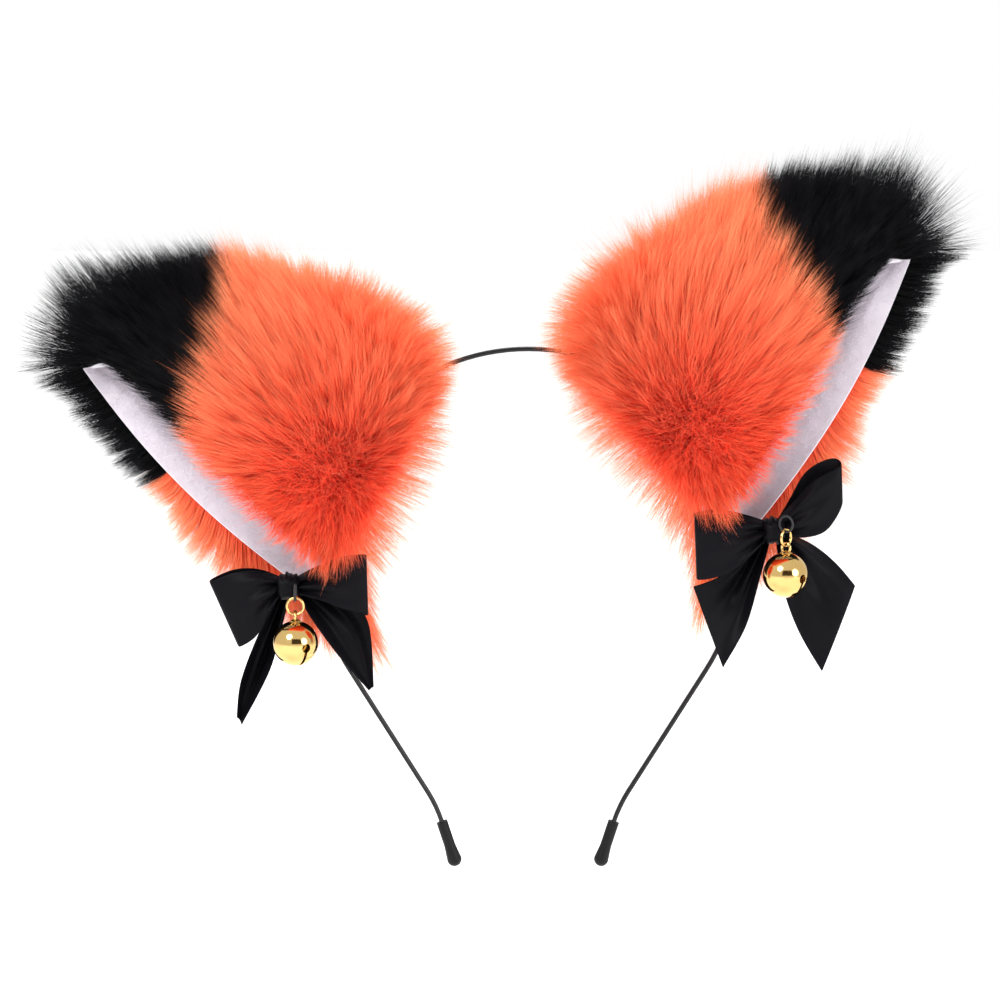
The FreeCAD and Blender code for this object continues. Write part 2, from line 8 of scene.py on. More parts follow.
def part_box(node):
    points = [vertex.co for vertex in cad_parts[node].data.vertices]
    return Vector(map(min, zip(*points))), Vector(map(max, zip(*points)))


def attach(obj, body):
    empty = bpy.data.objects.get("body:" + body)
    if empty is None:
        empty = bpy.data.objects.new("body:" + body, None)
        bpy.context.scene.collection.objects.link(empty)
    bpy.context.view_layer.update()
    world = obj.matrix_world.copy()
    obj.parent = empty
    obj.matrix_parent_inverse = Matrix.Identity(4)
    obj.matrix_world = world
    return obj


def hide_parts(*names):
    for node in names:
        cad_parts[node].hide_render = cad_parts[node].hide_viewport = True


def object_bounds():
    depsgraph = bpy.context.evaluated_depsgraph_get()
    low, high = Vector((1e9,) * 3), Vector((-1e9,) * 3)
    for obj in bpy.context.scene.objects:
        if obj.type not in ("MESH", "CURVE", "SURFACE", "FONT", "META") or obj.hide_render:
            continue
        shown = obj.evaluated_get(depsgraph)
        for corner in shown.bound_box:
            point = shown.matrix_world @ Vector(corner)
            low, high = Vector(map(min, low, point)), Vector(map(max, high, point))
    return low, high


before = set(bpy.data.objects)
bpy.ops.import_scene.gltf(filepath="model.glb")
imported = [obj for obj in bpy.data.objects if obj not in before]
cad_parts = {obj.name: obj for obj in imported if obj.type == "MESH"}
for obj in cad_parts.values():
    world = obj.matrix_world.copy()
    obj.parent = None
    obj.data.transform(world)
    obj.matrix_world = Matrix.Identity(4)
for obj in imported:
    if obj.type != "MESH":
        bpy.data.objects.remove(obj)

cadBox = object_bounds()
mm = 0.001
sides = {"left": -1, "right": 1}


view = {
    "aim": (-7.6, 0.0, 16.2),
    "away": 760.0,
    "rise": 6.0,  # degrees above level
    "across": 270.0,  # width seen at the hoop
    "floorDrop": 60.0,  # the hoop is held up, clear of the floor
}


def makeCamera():
    data = bpy.data.cameras.new("photoCamera")
    cam = bpy.data.objects.new("photoCamera", data)
    bpy.context.scene.collection.objects.link(cam)
    rise = math.radians(view["rise"])
    aim = Vector(view["aim"]) * mm
    cam.location = aim + Vector((0, -math.cos(rise), math.sin(rise))) * view["away"] * mm
    cam.rotation_euler = (math.radians(90) - rise, 0, 0)
    data.sensor_width = 36
    data.lens = 36 * view["away"] / view["across"]
    data.clip_start, data.clip_end = 0.01, 50
    bpy.context.scene.camera = cam


lamps = {
    "keyLamp": ((-0.75, -1.0, 0.95), 0.7, 17),  # place in metres, size and power
    "fillLamp": ((1.0, -0.9, 0.35), 0.8, 9),
    "topLamp": ((0.1, 0.35, 1.1), 0.6, 9),
}


def areaLight(name, at, size, power):
    data = bpy.data.lights.new(name, "AREA")
    data.shape, data.size, data.energy = "DISK", size, power
    lamp = bpy.data.objects.new(name, data)
    bpy.context.scene.collection.objects.link(lamp)
    lamp.location = at
    lamp.rotation_euler = (Vector((0, 0, 0.02)) - Vector(at)).to_track_quat("-Z", "Y").to_euler()


def makeLights():
    for name, (at, size, power) in lamps.items():
        areaLight(name, at, size, power)
    world = bpy.data.worlds.new("paleRoom")
    world.use_nodes = True
    world.node_tree.nodes["Background"].inputs["Color"].default_value = (1, 1, 1, 1)
    world.node_tree.nodes["Background"].inputs["Strength"].default_value = 1.0
    bpy.context.scene.world = world
    bpy.context.scene.view_settings.view_transform = "Standard"


class Sock:
    # one socket that can be added to or multiplied
    def __init__(self, mat, socket):
        self.mat, self.socket = mat, socket

    def sum(self, kind, other):
        return self.mat.node("ShaderNodeMath", {"operation": kind}, {0: self, 1: other})

    def __add__(self, other):
        return self.sum("ADD", other)

    def __mul__(self, other):
        return self.sum("MULTIPLY", other)


class Finish:
    def __init__(self, name):
        self.material = bpy.data.materials.new(name)
        self.material.use_nodes = True
        self.tree = self.material.node_tree
        self.shader = self.tree.nodes["Principled BSDF"]

    def node(self, kind, settings, sockets, out=0):
        new = self.tree.nodes.new(kind)
        for key, value in settings.items():
            if key == "stops":
                ramp = new.color_ramp
                for i, (at, colour) in enumerate(value):
                    stop = ramp.elements[i] if i < 2 else ramp.elements.new(at)
                    stop.position, stop.color = at, (*colour, 1)
            else:
                setattr(new, key, value)
        for key, value in sockets.items():
            self.feed(new.inputs[key], value)
        return Sock(self, new.outputs[out])

    def feed(self, target, value):
        if isinstance(value, Sock):
            self.tree.links.new(value.socket, target)
        elif isinstance(value, tuple) and len(value) == 3 and target.type == "RGBA":
            target.default_value = (*value, 1)
        else:
            target.default_value = value

    def set(self, **values):
        for key, value in values.items():
            self.feed(self.shader.inputs[key.replace("_", " ")], value)
        return self

    def place(self):
        return self.node("ShaderNodeTexCoord", {}, {}, "Object")

    def noise(self, scale, detail=3.0, stretch=None, at=None):
        at = at or self.place()
        if stretch:
            at = self.node("ShaderNodeMapping", {}, {"Vector": at, "Scale": stretch})
        sockets = {"Vector": at, "Scale": scale, "Detail": detail, "Roughness": 0.55}
        return self.node("ShaderNodeTexNoise", {}, sockets)

    def mix(self, share, a, b):
        return self.node("ShaderNodeMix", {"data_type": "RGBA"}, {0: share, 6: a, 7: b}, 2)

    def ramp(self, value, *stops):
        return self.node("ShaderNodeValToRGB", {"stops": stops}, {0: value})

    def bump(self, height, strength, distance):
        sockets = {"Height": height, "Strength": strength, "Distance": distance * mm}
        return self.node("ShaderNodeBump", {}, sockets)


def addObject(name, mesh, material):
    piece = bpy.data.objects.new(name, mesh)
    bpy.context.scene.collection.objects.link(piece)
    mesh.materials.append(material)
    return piece


def meshOf(name, bm):
    mesh = bpy.data.meshes.new(name)
    bm.to_mesh(mesh)
    bm.free()
    return mesh


def newPiece(name, bm, material, body):
    mesh = meshOf(name, bm)
    piece = addObject(name, mesh, material)
    mesh.shade_smooth()
    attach(piece, body)
    return piece


def gridMesh(columns, rows, placeOf):
    # a bmesh grid whose vertices are moved by a function of (0..1, 0..1)
    bm = bmesh.new()
    bmesh.ops.create_grid(bm, x_segments=columns, y_segments=rows, size=0.5, calc_uvs=False)
    layer = bm.loops.layers.uv.new("OFBake")
    for face in bm.faces:
        for loop in face.loops:
            loop[layer].uv = (loop.vert.co.x + 0.5, loop.vert.co.y + 0.5)
    for vert in bm.verts:
        vert.co = placeOf(vert.co.x + 0.5, vert.co.y + 0.5)
    return bm


def thicken(piece, thick):
    wall = piece.modifiers.new("wall", "SOLIDIFY")
    wall.thickness, wall.offset = thick * mm, 0


ear = {
    "radius": 57.0, "height": 76.0, "drop": 10.0, "ridge": 32.0, "edge": 36.0, "lean": 7.0,
    "front": 21.0, "back": 13.0, "baseCurl": 131.0, "frontCurl": 108.0, "backCurl": 165.0,
    "tip": 1.6, "belly": 5.5, "closing": 0.9,  # share of the height where the front starts to close
    "slide": {"left": 62.0, "right": 47.0},
    "seamFront": 0.54, "seamBack": 0.6, "seamRidge": 0.68, "seamShift": {"left": 0.0, "right": 0.045},
}


def rise(x):
    x = np.clip(x, 0, 1)
    return x * x * (3 - 2 * x)


def fade(x, start, width):
    # 0 before start and 1 past start + width; with a negative width it runs the other way
    return rise((x - start) / width)


def earPoints(u, v, grow, side):
    # points of the panel in the row frame, in metres; u -1 front edge, 0 fold, 1 back edge; v base to tip
    u, v, grow = (np.asarray(x, float) for x in (u, v, grow))
    wrapped = np.clip(1 - v / 0.2, 0, None) ** 2
    swell = np.clip(1 - np.clip(v, 0, 1) ** 3.2, 0, None) ** 0.75
    inboard = ear["lean"] - (ear["lean"] + ear["ridge"]) * swell + 7 * wrapped
    straight = ear["edge"] + (ear["lean"] - ear["edge"]) * v
    outboard = straight + ear["belly"] * np.sin(math.pi * v) - 4 * wrapped
    half = np.clip((outboard - inboard) / 2, 0, None) + ear["tip"]
    middle = (outboard + inboard) / 2
    foot = 1 - np.clip(1 - v / 0.25, 0, 1) ** 2
    cup = np.sqrt(foot) * np.clip(1 - np.clip((v - 0.25) / 0.75, 0, 1) ** 2.2, 0, None) ** 0.8
    spread = np.where(grow > 0, grow * (0.72 + 0.28 * rise(v / 0.3)), grow)
    closing = np.sin(math.pi * np.clip((v - 0.06) / 0.94, 0, 1)) ** 0.55
    isFront = u < 0
    openCurl = ear["baseCurl"] + (ear["frontCurl"] - ear["baseCurl"]) * np.clip(v / 0.75, 0, 1)
    frontCurl = openCurl + (174 - openCurl) * fade(v, ear["closing"], 0.1)
    curl = np.where(isFront, frontCurl, 176 - (176 - ear["backCurl"]) * closing)
    turn = np.radians(-u * curl)
    depth = np.where(isFront, ear["front"], ear["back"]) * cup
    across = middle - (half + spread) * np.cos(turn)
    forward = (depth + ear["tip"] + spread) * np.sin(turn)
    top = ear["height"] + np.where(grow > 0, 0.75 * grow, 2 * grow)
    bottom = -ear["drop"] - np.where(grow > 0, 0.75 * spread, 0)
    away = np.clip(across, 0, 0.85 * ear["radius"])
    sag = rise(2 * u) * (ear["radius"] - np.sqrt(ear["radius"] ** 2 - away**2))
    up = ear["radius"] + bottom + (top - bottom) * v - sag * np.clip(1 - v, 0, None) ** 1.5
    return toRow(np.stack([sides[side] * across, -forward, up], -1), side)


def toRow(local, side):
    # from an ear standing on the crown to its place on the hoop, in metres
    turn = math.radians(sides[side] * ear["slide"][side])
    x = local[..., 0] * math.cos(turn) + local[..., 2] * math.sin(turn)
    z = -local[..., 0] * math.sin(turn) + local[..., 2] * math.cos(turn)
    return np.stack([x, local[..., 1], z], -1) * mm


def seamOf(side):
    # the seam's height round the panel; the pile lies a little further over it on one ear
    def height(u):
        edge = np.where(u < 0, ear["seamFront"], ear["seamBack"])
        return ear["seamShift"][side] + edge + (ear["seamRidge"] - edge) * (1 - np.abs(u)) ** 2

    return height


fur = {
    "orangeStrands": 97000,
    "blackStrands": 39000,
    "perPiece": 39000,
    "length": (14.5, 3.5),  # mean and spread, mm
    "limits": (4, 21),  # shortest and longest
    "underfur": (0.25, 0.62),  # share of strands that are short, and how short
    "width": 0.13,
    "quickWidth": 1.7,
    "clump": 1.9,  # size of a tuft
    "whorl": (4.0, 4.0),  # where the pile parts, outboard of the ear's middle and out from the hoop
    "whorlSize": 9.0,
    "pull": 0.42,  # how far strands gather into tufts
}

# leans, as shares of a strand's length
comb = {
    "up": (26, 0.85),  # distance from the whorl, mm, per unit of lean out from the hoop, and its limit
    "out": (24, 0.7, 0.2),  # the same for the lean outboard, and its limit near the tip
    "down": 0.9,  # limit of both leans towards the base and inboard
    "level": 0.15,  # height on the ear where the pile behind stands straight out
    "climb": (3.2, 1.3),  # lean per height below and above that level
    "climbLimits": (-0.7, 0.6),
    "mouth": 0.3,  # lean outboard along the mouth behind
    "tuft": 0.1,
    "loose": 0.075,
    "whorlLoose": 0.2,
    "sag": 0.06,
}

# shares of its length that a strand gains or loses in each place
growth = {
    "footFront": (-0.26, 0.32),  # along the base in front, and what the edge gains on it
    "footBack": (-0.3, 0.65, -0.55),  # along the base behind: the fold, the middle, the mouth
    "footFold": -0.14,
    "mouthLow": 0.35,
    "mouthHigh": -0.45,
    "tip": 0.12,
    "corner": -0.15,  # the inboard upper corner
    "tipFront": -0.3,
    "fold": 0.3,
    "frontEdge": -0.45,
    "whorl": -0.15,
}


def furMaterial(name, deep, light, sheen, gloss=0.3):
    # deep and light are the colours at the root, the middle and the tip; each strand has a tone between. Both
    # runs are darker at the root, which is painted shade for the depth of the pile.
    look = Finish(name)
    uv = look.node("ShaderNodeUVMap", {"uv_map": "OFBake"}, {})
    tone = look.node("ShaderNodeSeparateXYZ", {}, {0: uv})
    along = Sock(look, tone.socket.node.outputs[1])
    # the ramps run from a darker root to a lighter tip: painted shade inside the pile
    runs = [look.ramp(along, *zip((0.0, 0.5, 1.0), colours)) for colours in (deep, light)]
    look.set(Base_Color=look.mix(tone, *runs), Roughness=0.62, Sheen_Weight=sheen, Sheen_Roughness=0.4)
    look.set(Specular_IOR_Level=gloss)
    return look.material


def strandMesh(name, strands, material, body, rng, width):
    # tapered ribbons of three steps, all in one mesh
    roots, normals, combs, lengths, tones = strands
    count = len(roots)
    steps = np.array([0.0, 0.4, 0.75])
    taper = np.array([1.0, 0.8, 0.45])
    spin = rng.normal(size=(count, 3))
    along = normals + combs
    along /= np.linalg.norm(along, axis=1, keepdims=True)
    sideways = np.cross(along, spin)
    sideways /= np.linalg.norm(sideways, axis=1, keepdims=True)
    rows = []
    for s, w in zip(steps, taper):
        middle = roots + lengths[:, None] * (normals * (s - 0.12 * s * s) + combs * s * s)
        half = sideways * (w * width * 0.5 * mm)
        rows += [middle - half, middle + half]
    tip = roots + lengths[:, None] * (normals * 0.88 + combs)
    verts = np.stack(rows + [tip], 1).reshape(-1, 3)
    base = np.arange(count)[:, None] * 7
    quads = np.array([[0, 1, 3, 2], [2, 3, 5, 4]])
    quadIndex = (base[:, :, None] + quads[None]).reshape(count, 8)
    triIndex = base + np.array([[4, 5, 6]])
    loops = np.concatenate([quadIndex, triIndex], 1).reshape(-1)
    starts = (np.arange(count)[:, None] * 11 + np.array([[0, 4, 8]])).reshape(-1)
    mesh = bpy.data.meshes.new(name)
    mesh.vertices.add(len(verts))
    mesh.vertices.foreach_set("co", verts.astype(np.float32).ravel())
    mesh.loops.add(len(loops))
    mesh.loops.foreach_set("vertex_index", loops.astype(np.int32))
    mesh.polygons.add(len(starts))
    mesh.polygons.foreach_set("loop_start", starts.astype(np.int32))
    mesh.update(calc_edges=True)
    heights = np.array([0.02, 0.02, 0.4, 0.4, 0.75, 0.75, 0.98])
    lateral = np.array([0, 1, 0, 1, 0, 1, 0.5]) * 0.01
    loopInStrand = loops.reshape(count, 11) % 7
    uvs = np.stack([tones[:, None] * 0.98 + lateral[loopInStrand], heights[loopInStrand]], -1)
    layer = mesh.uv_layers.new(name="OFBake")
    layer.data.foreach_set("uv", uvs.astype(np.float32).ravel())
    piece = addObject(name, mesh, material)
    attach(piece, body)
    return piece


def scatter(count, low, high, side, rng):
    # even roots on the panel between two heights, by area
    us, vs = [], []
    total = 0
    while total < count:
        u = rng.uniform(-1, 1, count * 3)
        v = rng.uniform(0, 1, count * 3)
        step = 0.004
        at = earPoints(u, v, 0.0, side)
        du = earPoints(np.clip(u + step, -1, 1), v, 0.0, side) - at
        dv = earPoints(u, np.clip(v + step, 0, 1), 0.0, side) - at
        area = np.linalg.norm(np.cross(du, dv), axis=1)
        area *= 1 + rise((u - 0.8) / 0.1)
        keep = rng.uniform(0, 1, len(u)) * np.percentile(area, 97) < area
        keep &= (v >= low(u)) & (v <= high(u))
        us.append(u[keep])
        vs.append(v[keep])
        total += keep.sum()
    return np.concatenate(us)[:count], np.concatenate(vs)[:count]


def growthOf(u, v, near):
    # what a strand's length is multiplied by, from place to place
    foot, footEdge = growth["footFront"]
    footFold, footMiddle, footMouth = growth["footBack"]
    inFront = foot + footEdge * fade(u, -0.3, -0.3)
    inBack = footFold + footMiddle * fade(u, 0.2, 0.25) + footMouth * fade(u, 0.55, 0.2)
    share = 1 + growth["whorl"] * near + growth["frontEdge"] * fade(u, -0.72, -0.28)
    share += fade(v, 0.2, -0.2) * np.where(u < 0, inFront, inBack)
    share += growth["footFold"] * fade(np.abs(u), 0.25, -0.25) * fade(v, 0.12, -0.12)
    mouth = growth["mouthLow"] * fade(v, 0.45, -0.2) + growth["mouthHigh"] * fade(v, 0.45, 0.1)
    share += mouth * fade(u, 0.6, 0.4)
    share += growth["tip"] * fade(v, 0.9, 0.08)
    share += growth["corner"] * fade(np.abs(u), 0.5, -0.5) * fade(v, 0.6, 0.1) * fade(v, 0.95, -0.1)
    share += growth["tipFront"] * fade(v, 0.72, 0.2) * fade(u, -0.5, -0.3)
    share += growth["fold"] * fade(np.abs(u), 0.4, -0.4) * fade(v, 0.0, 0.12) * fade(v, 0.5, -0.2)
    return share


def combOf(u, v, skin, standing, side):
    # on the front the pile lies away from a whorl, and elsewhere up towards the tip
    radial = toRow(np.array([0.0, 0.0, 1.0]), side) / mm
    outward = toRow(np.array([float(sides[side]), 0.0, 0.0]), side) / mm
    above = skin @ radial / mm - ear["radius"] - fur["whorl"][1]
    beside = skin @ outward / mm - fur["whorl"][0]
    reach, most = comb["up"]
    up = np.clip(above / reach, -comb["down"], most)
    reach, most, mostAtTip = comb["out"]
    out = np.clip(beside / reach, -comb["down"], most - (most - mostAtTip) * fade(v, 0.6, 0.2))
    wanted = radial * up[:, None] + outward * out[:, None] + np.array([0.0, -1.0, 0.0])
    climb = (v - comb["level"]) * np.where(v < comb["level"], *comb["climb"])
    mouth = comb["mouth"] * fade(u, 0.45, 0.35)
    climbing = standing + radial * np.clip(climb, *comb["climbLimits"])[:, None] + outward * mouth[:, None]
    front = (fade(u, 0.0, -0.4) * fade(v, 0.97, -0.2))[:, None]
    return wanted * front + climbing * (1 - front) - standing, np.hypot(above, beside)


def strandsOn(side, u, v, rng):
    # roots, standing directions, leans, lengths and tones for strands at (u, v)
    root = earPoints(u, v, -0.05, side)
    skin = earPoints(u, v, 0.0, side)
    standing = earPoints(u, v, 9.0, side) - skin
    standing /= np.linalg.norm(standing, axis=1, keepdims=True)
    combs, fromWhorl = combOf(u, v, skin, standing, side)
    # tufts: strands of one cell lean to a shared direction
    size = fur["clump"] * mm
    warp = root + 0.8 * size * np.sin(root[:, [1, 2, 0]] / size * 0.9)
    cell = np.floor(warp / size).astype(np.int64)
    key = (cell[:, 0] * 73856093) ^ (cell[:, 1] * 19349663) ^ (cell[:, 2] * 83492791)
    shared = np.stack([np.sin(key * 0.7391 + k) for k in (0.0, 2.1, 4.2)], 1)
    gather = ((cell + 0.5) * size - warp) / (fur["length"][0] * mm)
    combs += shared * comb["tuft"] + gather * fur["pull"]
    near = np.exp(-((fromWhorl / fur["whorlSize"]) ** 2)) * (u < 0)
    combs += rng.normal(0, 1, combs.shape) * (comb["loose"] + comb["whorlLoose"] * near)[:, None]
    combs[:, 2] -= comb["sag"]
    mean, spread = fur["length"]
    short, shortness = fur["underfur"]
    lengths = rng.normal(mean, spread * 0.35, len(u)) * (1 + 0.07 * np.sin(key * 1.37))
    lengths *= np.where(rng.uniform(size=len(u)) < short, shortness, 1.0)
    lengths = np.clip(lengths * growthOf(u, v, near), *fur["limits"]) * mm
    # the colour is deep at the whorl and light away from it and behind
    tones = np.clip(fromWhorl / 34 + (u > 0) - 0.1 + rng.normal(0, 0.16, len(u)), 0, 1)
    return root, standing, combs, lengths, tones


def makeFur(side, orange, black):
    rng = np.random.default_rng(11 if side == "left" else 23)
    width = fur["width"] * 1
    made = {}
    for colour, count, material, low, high in (
        ("orange", fur["orangeStrands"], orange, lambda u: 0 * u, seamOf(side)),
        ("black", fur["blackStrands"], black, seamOf(side), lambda u: 0 * u + 1.0),
    ):
        u, v = scatter(count, low, high, side, rng)
        order = np.argsort(u)
        strands = strandsOn(side, u[order], v[order], rng)
        parts = np.array_split(np.arange(count), math.ceil(count / fur["perPiece"]))
        made[colour] = []
        for k, part in enumerate(parts):
            name = f"{side}_{colour}_pile_{k + 1}"
            share = [row[part] for row in strands]
            piece = strandMesh(name, share, material, f"{side}_ear", rng, width)
            colour + "_fur"
            made[colour].append(piece)
    print(side, "fur made")
    return made


layers = {
    "backing": (0.1, 0.5),  # middle of the fur's knitted backing, mm out from the panel, and its thickness
    "felt": (-1.3, 1.0),
    "feltReach": (0.1, 0.84),  # shares of the ear's height
    "feltSpan": 0.92,  # share of the curl, so that its edges stay inside the lining's
    "lining": (-2.7, 0.7),
    "liningReach": (0.015, 1.045),
    "hem": 0.02,  # how far the lining turns past the felt's edge, as a share of the curl
    "hemLift": 2.9,
    "tipLift": (1.8, 0.84),  # how far it comes out to the tip's small radius, and from what height
    "plush": (1.5, 0.14),  # length and width of the plush's strands
    "plushStrands": 22000,
}


def clothMaterial(name, colour, rough, weave, sheen=0.2, depth=0.12):
    look = Finish(name)
    at = look.place()
    patches = look.noise(180, 4, at=at)
    threads = look.noise(weave, 2, at=at)
    dark = tuple(c * 0.72 for c in colour)
    look.set(Base_Color=look.mix(patches, dark, colour), Roughness=rough, Sheen_Weight=sheen)
    look.set(Normal=look.bump(threads, 0.6, depth))
    return look.material


def panelPiece(name, side, placeOf, thick, material, columns, rows):
    bm = gridMesh(columns, rows, placeOf)
    if side == "right":
        bmesh.ops.reverse_faces(bm, faces=bm.faces)
    piece = newPiece(name, bm, material, f"{side}_ear")
    thicken(piece, thick)
    return piece


def panelSheet(name, side, low, high, layer, material, columns=96, rows=40, span=1.0):
    grow, thick = layer

    def placeOf(p, q):
        u = span * (2 * p - 1)
        v = low(u) + (high(u) - low(u)) * q
        return Vector(earPoints(u, v, grow, side))

    return panelPiece(f"{side}_{name}", side, placeOf, thick, material, columns, rows)


def liningPoints(p, v, side):
    # the lining's surface; along the mouth behind, it turns outwards round the felt's edge
    p = np.asarray(p, float)
    lift, start = layers["tipLift"]
    lifted = lift * fade(np.asarray(v, float), start, 0.12)
    hem = np.clip(1 - (1 - p) / 0.05, 0, 1)
    grow = layers["lining"][0] + lifted + (layers["hemLift"] - lifted) * hem**2
    return earPoints((2 * p - 1) * (1 + layers["hem"] * hem), v, grow, side)


def makeLining(side, material):
    low, high = layers["liningReach"]

    def placeOf(p, q):
        return Vector(liningPoints(0.5 - 0.5 * math.cos(math.pi * p), low + (high - low) * q, side))

    return panelPiece(f"{side}_lining", side, placeOf, layers["lining"][1], material, 130, 44)


def makePlush(side, material):
    rng = np.random.default_rng(5 if side == "left" else 7)
    count = layers["plushStrands"] // 1
    low, high = layers["liningReach"]
    length, width = layers["plush"]
    p, v = rng.uniform(0, 1, (2, count))
    v = low + (high - low) * v
    p = np.where(rng.uniform(size=len(p)) < 0.15, rng.uniform(0.95, 1, len(p)), p)  # more along the hem
    root = liningPoints(p, v, side)
    step = 0.002
    facing = np.cross(liningPoints(p + step / 4, v, side) - root, liningPoints(p, v + step, side) - root)
    facing /= np.linalg.norm(facing, axis=1, keepdims=True) + 1e-12
    inward = root - earPoints(2 * p - 1, v, 0.0, side)
    middle = (p > 0.1) & (p < 0.9)
    facing *= np.sign(np.sum(facing[middle] * inward[middle]))
    combs = rng.normal(0, 0.3, root.shape)
    lengths = rng.uniform(0.6, 1.0, len(p)) * length * mm
    tones = rng.uniform(0, 1, len(p))
    strands = root, facing, combs, lengths, tones
    piece = strandMesh(f"{side}_plush", strands, material, f"{side}_ear", rng, width)
    return piece


def makePanel(side, finish):
    def level(height):
        return lambda u: u * 0 + height

    seam, backing = seamOf(side), layers["backing"]
    lower = panelSheet("orange_backing", side, level(0.0), seam, backing, finish["orangeBacking"])
    upper = panelSheet("black_backing", side, seam, level(0.995), backing, finish["blackBacking"], rows=24)
    low, high = [level(height) for height in layers["feltReach"]]
    felt = panelSheet("felt", side, low, high, layers["felt"], finish["felt"], span=layers["feltSpan"])
    lining = makeLining(side, finish["lining"])
    plush = makePlush(side, finish["plush"])
    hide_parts(f"{side}_ear_fur_body")
    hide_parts(f"{side}_ear_fur_tip")
    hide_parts(f"{side}_ear_stiffening_felt")
    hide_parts(f"{side}_ear_plush_lining")
    print(side, "panel made")


bow = {
    "out": {"left": 35.0, "right": 37.5}, "down": -3.0, "thick": 0.32, "layer": 9.2,
    "drift": {"left": (0.0, 0.0), "right": (1.0, -0.7)},  # how far the flaps' ends hang from their place
    "puff": 5.2,  # how far a loop stands open
    "left": {
        "loop_outer": {"upper": [(-2.0, 2.4), (-8, 4.2), (-14.5, 3.9), (-21, 1.3)],
                       "lower": [(-2.0, -2.2), (-5.2, -7), (-8.5, -13), (-13.3, -16.5)],
                       "fan": 4, "bow": 1.3},
        "loop_inner": {"upper": [(2.0, 2.2), (8, 5.4), (14.5, 7.6), (20.8, 8.3)],
                       "lower": [(2.0, -1.8), (8.5, -3.6), (14.5, -6.2), (21.2, -8.0)],
                       "fan": 5, "bow": 0.6},
        "tail_outer": {"upper": [(0.6, -1.5), (-2.4, -13), (-5.6, -24), (-13.0, -38.1)],
                       "lower": [(-2.2, -1.5), (-8.2, -13.4), (-13.2, -26.5), (-14.2, -36.0)],
                       "curl": -5.4},
        "tail_inner": {"upper": [(3.6, 0.4), (14.5, -3.0), (21.2, -10.5), (22.6, -27.7)],
                       "lower": [(2.2, -2.4), (7.2, -10.8), (13.6, -20.0), (21.4, -28.6)],
                       "curl": -3.6},
    },
    "right": {
        "loop_outer": {"upper": [(0.8, 2.2), (4.6, 8.2), (9.4, 15.2), (16.5, 19.3)],
                       "lower": [(2.2, -1.0), (7.4, -1.2), (13.2, 1.6), (17.2, 8.8)],
                       "fan": -17, "bow": 1.6},
        "loop_inner": {"upper": [(-1.8, 2.4), (-8, 4.2), (-14.5, 5.4), (-21.9, 5.0)],
                       "lower": [(-1.8, -2.2), (-7.5, -7.2), (-13.5, -10.8), (-21.1, -12.6)],
                       "fan": 5, "bow": 1.4},
        "tail_outer": {"upper": [(2.4, -0.6), (10.2, -3.8), (16.4, -8.6), (21.4, -14.5)],
                       "lower": [(0.9, -2.0), (2.2, -14), (6.4, -26.6), (12.7, -37.9)],
                       "curl": 2.6},
        "tail_inner": {"upper": [(-2.2, -1.2), (-9.4, -9.2), (-15.4, -12.8), (-22.1, -14.6)],
                       "lower": [(-0.6, -2.4), (-3.6, -13), (-7.4, -26.0), (-13.9, -36.8)],
                       "curl": -3.4},
    },
}


def satinMaterial():
    look = Finish("blackSatin")
    uv = look.node("ShaderNodeUVMap", {"uv_map": "OFBake"}, {})
    threads = look.noise(1.0, 2, stretch=(60, 900, 1), at=uv)
    crease = look.noise(140, 3)
    look.set(Base_Color=look.mix(threads, (0.002, 0.002, 0.003), (0.006, 0.006, 0.008)))
    look.set(Roughness=crease * 0.16 + 0.36, Normal=look.bump(threads, 0.35, 0.05))
    look.set(Specular_IOR_Level=0.05)
    return look.material


def alongCurve(points, t):
    # a smooth curve through the points
    last = len(points) - 1
    k = min(int(t * last), last - 1)
    f = t * last - k
    p = [Vector(points[min(max(k + d, 0), last)]) for d in (-1, 0, 1, 2)]
    return 0.5 * (2 * p[1] + (p[2] - p[0]) * f + (2 * p[0] - 5 * p[1] + 4 * p[2] - p[3]) * f**2
                  + (3 * p[1] - p[0] - 3 * p[2] + p[3]) * f**3)


def knotPoint(side):
    local = np.array([sides[side] * bow["out"][side], 0.0, ear["radius"] + bow["down"]])
    return Vector(toRow(local, side))


def acrossFlap(shape, side, t, q):
    # t runs from the knot to the flap's end, q from its lower edge to its upper one
    flat = alongCurve(shape["lower"], t).lerp(alongCurve(shape["upper"], t), q)
    return flat + Vector(bow["drift"][side]) * t


def tailPlace(side, flap, depth):
    shape, knot = bow[side][flap], knotPoint(side)

    def placeOf(p, q):
        t = p**0.9
        flat = acrossFlap(shape, side, t, q)
        pleat = 1.8 * math.cos(math.pi * 5 * q) * (1 - t) ** 1.2
        arch = shape["curl"] * math.sin(math.pi * q) * math.sin(math.pi * min(t * 0.7 + 0.2, 1))
        wave = 1.2 * math.sin(2.4 * math.pi * t + q) * t
        return knot + Vector((flat.x, -(depth + pleat + arch + wave), flat.y)) * mm

    return placeOf


def loopPlace(side, flap, depth):
    shape, knot = bow[side][flap], knotPoint(side)

    def placeOf(p, q):
        turn = math.pi * p
        t = max(math.sin(turn), 0) ** 0.75
        flat = acrossFlap(shape, side, t, q)
        fan = math.radians(shape["fan"]) * 0.5 * math.cos(turn) * t
        x = flat.x * math.cos(fan) - flat.y * math.sin(fan)
        z = flat.x * math.sin(fan) + flat.y * math.cos(fan)
        belly = math.sin(math.pi * min(t, 0.8) / 1.25) ** 0.8
        puff = bow["puff"] * 0.5 * math.cos(turn) * (0.25 + 0.75 * belly)
        pleat = 1.4 * math.cos(math.pi * 5 * q) * (1 - t) ** 1.3 * math.cos(turn)
        arch = shape["bow"] * math.sin(math.pi * q) * math.sin(math.pi * (0.15 + 0.7 * t)) * math.cos(turn)
        return knot + Vector((x, -(depth + puff + pleat + arch), z)) * mm

    return placeOf


